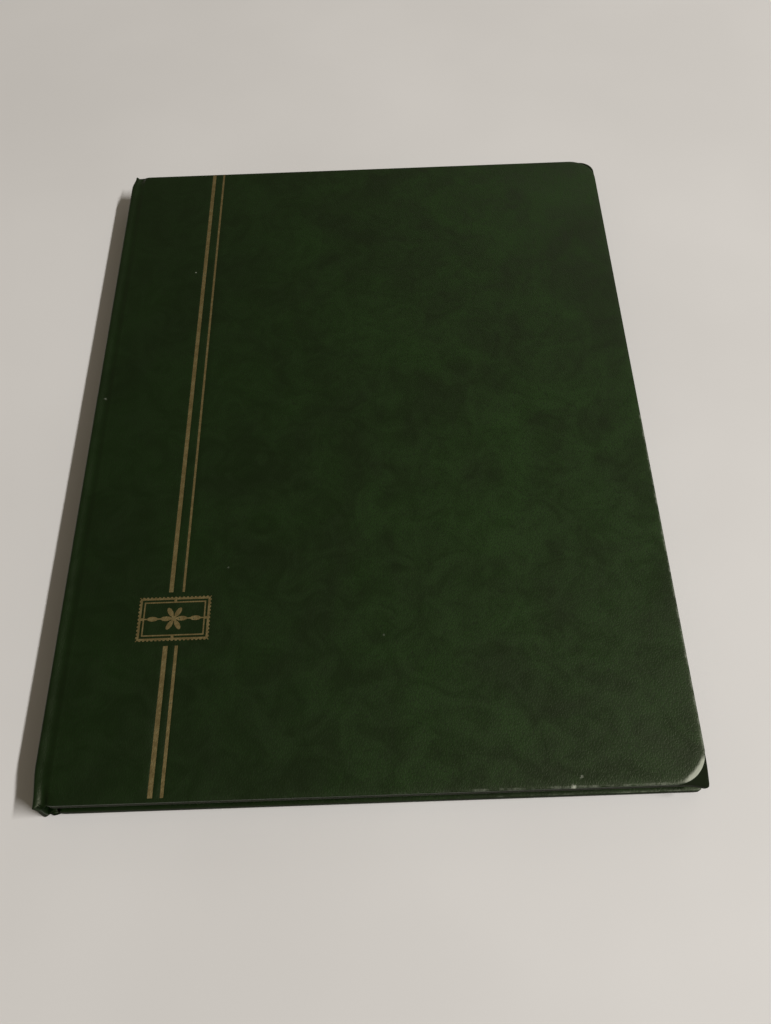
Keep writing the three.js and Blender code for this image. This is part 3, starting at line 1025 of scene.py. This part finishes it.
def joint_lining(side):
    """Linen from the binding block round the inside of the joint and on to the board's inner face."""
    low, high = node_box(f"{side}_end_hinge")
    up = 1.0 if side == "front" else -1.0
    face = TOP_Z if side == "front" else 0.0
    board_z = (low[2] + high[2]) / 2
    off_block = 0.07
    off_board = 0.3
    block_z = BLOCK_HIGH[2] + off_block if up > 0 else BLOCK_LOW[2] - off_block
    roof_z = face - up * (FACE_DIP + GROOVE + 2.6 * COVERING)
    corners = [
        (BLOCK_HIGH[0], block_z),
        (BLOCK_LOW[0] - 0.1, block_z),
        (BLOCK_LOW[0] - 0.15, roof_z),
        (BOARD_X - off_board, roof_z),
        (BOARD_X - off_board, board_z),
        (high[0], board_z),
    ]
    path = spread(rounded_path(corners, 0.4), 0.9)
    piece = ribbon(f"{side}_joint_linen", path, high[1], high[2] - low[2], LINEN)
    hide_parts(f"{side}_end_hinge")
    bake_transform(piece)


def binding_block():
    """The sewn block, with a low fold of linen for each leaf."""
    fold_steps = 6
    outline = [(BLOCK_LOW[0], BLOCK_LOW[2]), (BLOCK_LOW[0], BLOCK_HIGH[2])]
    pitch = (BLOCK_HIGH[2] - BLOCK_LOW[2]) / LEAVES
    for fold in range(LEAVES):
        for step in range(fold_steps + 1):
            t = step / fold_steps
            x = BLOCK_HIGH[0] - 0.14 * (1 - math.sin(math.pi * t))
            outline.append((x, BLOCK_HIGH[2] - (fold + t) * pitch))
    rows = np.linspace(BLOCK_LOW[1], BLOCK_HIGH[1], 40)
    rings = [[(x, y, z) for x, z in reversed(outline)] for y in rows]
    piece = stacked_rings("sewn_block", rings, BLOCK_LINEN)
    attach(piece, "spine")
    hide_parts("binding_block")


def leaf_card(number):
    """A stiff card with round outer corners and eased edges."""
    node = f"leaf_{number}_card"
    low, high = node_box(node)
    rings = []
    for inset, z in eased_edges(low[2], high[2], 0.08):
        corner_low = (low[0] + inset, low[1] + inset)
        corner_high = (high[0] - inset, high[1] - inset)
        ring = rounded_rectangle(corner_low, corner_high, LEAF_CORNER - inset, LEAF_CORNER - inset)
        rings.append([(x, y, z) for x, y in ring])
    piece = stacked_rings(f"leaf_{number}", rings, LEAF_CARD)
    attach(piece, f"leaf_{number}")
    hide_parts(node)


def hinge_line(body):
    """Where a body's hinge line lies, as x and z in millimetres."""
    joint = next(j for j in frame["joints"] if j["child"] == body)
    return joint["pos_m"][0] / MM, joint["pos_m"][2] / MM


def leaf_hinge(number):
    """The linen strip that ties a leaf to the block, with close grid lines at the hinge line."""
    node = f"leaf_{number}_linen_hinge"
    low, high = node_box(node)
    hinge_x, hinge_z = hinge_line(f"leaf_{number}")
    xs = [hinge_x + d for d in BEND_STEPS]
    xs += list(np.linspace(low[0], high[0], 6))
    path = [np.array((x, hinge_z)) for x in xs]
    piece = ribbon(f"leaf_{number}_hinge", path, high[1], high[2] - low[2], LINEN)
    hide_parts(node)
    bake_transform(piece)


def pocket_strips(number, side):
    """Nine clear strips on one face of a leaf, each glued along its foot and open at its top."""
    node = f"leaf_{number}_pockets_{side}"
    low, high = node_box(node)
    up = 1.0 if side == "front" else -1.0
    card_side = low[2] if up > 0 else high[2]
    thickness = 0.05
    xs = np.linspace(low[0], high[0], 15)
    profile = ((0.0, 0.0), (1.5, 0.0), (2.2, 0.012), (11.0, 0.02), (20.5, 0.02), (STRIP_HEIGHT, 0.015))
    points = []
    faces = []
    for strip in range(STRIPS):
        start = len(points)
        foot = low[1] + strip * STRIP_PITCH
        for x in xs:
            for y, lift in profile:
                points.append((x, foot + y, card_side + up * lift))
        points += [(x, y, z + up * thickness) for x, y, z in points[start:]]
        strip_faces = slab_faces(len(xs), len(profile), start)
        faces += strip_faces if up > 0 else flipped(strip_faces)
    piece = make_piece(f"leaf_{number}_strips_{side}", points, faces, FILM, smooth=False)
    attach(piece, f"leaf_{number}")
    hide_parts(node)


def interleaf(number):
    """A glassine sheet from the block, with close grid lines at its hinge line."""
    node = f"interleaf_{number}"
    low, high = node_box(node)
    hinge_x, hinge_z = hinge_line(node)
    corner_x = high[0] - LEAF_CORNER
    columns = [hinge_x + d for d in BEND_STEPS]
    columns += [*np.linspace(low[0], corner_x, 24), high[0] - 2.0, high[0] - 1.0, high[0]]
    rows = np.linspace(-1, 1, 41)
    points = []
    for x in columns:
        past = max(x - corner_x, 0.0)
        half = high[1] - LEAF_CORNER + math.sqrt(max(LEAF_CORNER ** 2 - past * past, 0.0))
        points += [(x, half * t, hinge_z) for t in rows]
    piece = make_piece(f"glassine_{number}", points, grid_faces(len(columns), len(rows)), GLASSINE)
    thicken(piece, 0.04, 0.0)
    keep_rest(piece)
    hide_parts(node)
    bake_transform(piece)


# Camera, floor and light

SENSOR = 36.0
LENS = 31.21875
SHIFT = -0.0173828125  # to the side, as a share of the picture's long side
AZIMUTH, ELEVATION, ROLL = (math.radians(a) for a in (0.55, 61.18, -2.55))
CAMERA_PLACE = (16.3, -213.2, 321.5)
FLOOR_Z = -0.02
FLOOR_HALF = 3000.0


def camera():
    """A camera above the tail edge, turned a little and rolled a little, as seen by someone holding it."""
    data = bpy.data.cameras.new("camera")
    data.sensor_width = SENSOR
    data.lens = LENS
    data.shift_x = SHIFT
    data.clip_start = 0.01
    data.clip_end = 20.0
    eye = bpy.data.objects.new("camera", data)
    bpy.context.scene.collection.objects.link(eye)
    level = math.cos(ELEVATION)
    back = Vector((math.sin(AZIMUTH) * level, -math.cos(AZIMUTH) * level, math.sin(ELEVATION)))
    eye.rotation_mode = "QUATERNION"
    turn = (-back).to_track_quat("-Z", "Y").to_matrix() @ Matrix.Rotation(ROLL, 3, "Z")
    eye.rotation_quaternion = turn.to_quaternion()
    eye.location = Vector(CAMERA_PLACE) * MM
    bpy.context.scene.camera = eye


def floor():
    """A plain pale table, far wider than any view."""
    material, tree, shader = new_material("floor")
    cloud = noise_at(tree, object_place(tree), 160.0, 3.0, 0.5)
    pale = mix_colours(tree, remap(tree, cloud, 0.3, 0.7), (0.66, 0.645, 0.63), (0.70, 0.685, 0.67))
    dress(tree, shader, pale, 0.6)
    corners = ((-1, -1), (1, -1), (1, 1), (-1, 1))
    points = [(FLOOR_HALF * x, FLOOR_HALF * y, FLOOR_Z) for x, y in corners]
    make_piece("floor", points, [(0, 1, 2, 3)], material, smooth=False)


def area_light(name, location, target, size, power, colour=(1.0, 0.97, 0.93)):
    """A rectangular light with its place, target and size in metres."""
    data = bpy.data.lights.new(name, "AREA")
    data.shape = "RECTANGLE"
    data.size, data.size_y = size
    data.energy = power
    data.color = colour
    light = bpy.data.objects.new(name, data)
    bpy.context.scene.collection.objects.link(light)
    light.location = location
    light.rotation_mode = "QUATERNION"
    light.rotation_quaternion = (Vector(target) - Vector(location)).to_track_quat("-Z", "Y")


def lighting():
    """A long narrow key light from the right, a weak one from the head and a warm dim surround."""
    world = bpy.data.worlds.new("world")
    world.use_nodes = True
    background = world.node_tree.nodes["Background"]
    background.inputs["Color"].default_value = (1.0, 0.87, 0.66, 1.0)
    background.inputs["Strength"].default_value = 0.15
    bpy.context.scene.world = world
    area_light(
        "key",
        location=(2.3, -0.84, 2.75),
        target=(0.0, -0.84, 0.0),
        size=(1.65, 0.13),
        power=134.0,
        colour=(1.0, 0.985, 0.965),
    )
    area_light("head", location=(0.75, 1.5, 1.1), target=(0.0, 0.0, 0.0), size=(1.0, 0.6), power=1.6)
    bpy.context.scene.view_settings.view_transform = "Standard"


camera()
floor()
lighting()
foam_pad("front_foam", "front_padding", "front_cover", TOP_Z, 1.0)
foam_pad("back_foam", "back_padding", "back_cover", 0.0, -1.0)
front_board()
spine_board()
paint_nodes(GREYBOARD, "back_board")
front_covering()
back_covering()
paint_nodes(ENDPAPER, "front_pastedown", "back_pastedown")
paint_nodes(KRAFT, "spine_lining")
paint_nodes(GOLD, "gold_emblem")
for rule in RULES:
    foil_rule(rule)
binding_block()
for cover_side in ("front", "back"):
    joint_lining(cover_side)
for leaf_number in range(1, LEAVES + 1):
    leaf_card(leaf_number)
    leaf_hinge(leaf_number)
    pocket_strips(leaf_number, "front")
    pocket_strips(leaf_number, "back")
    if leaf_number < LEAVES:
        interleaf(leaf_number)
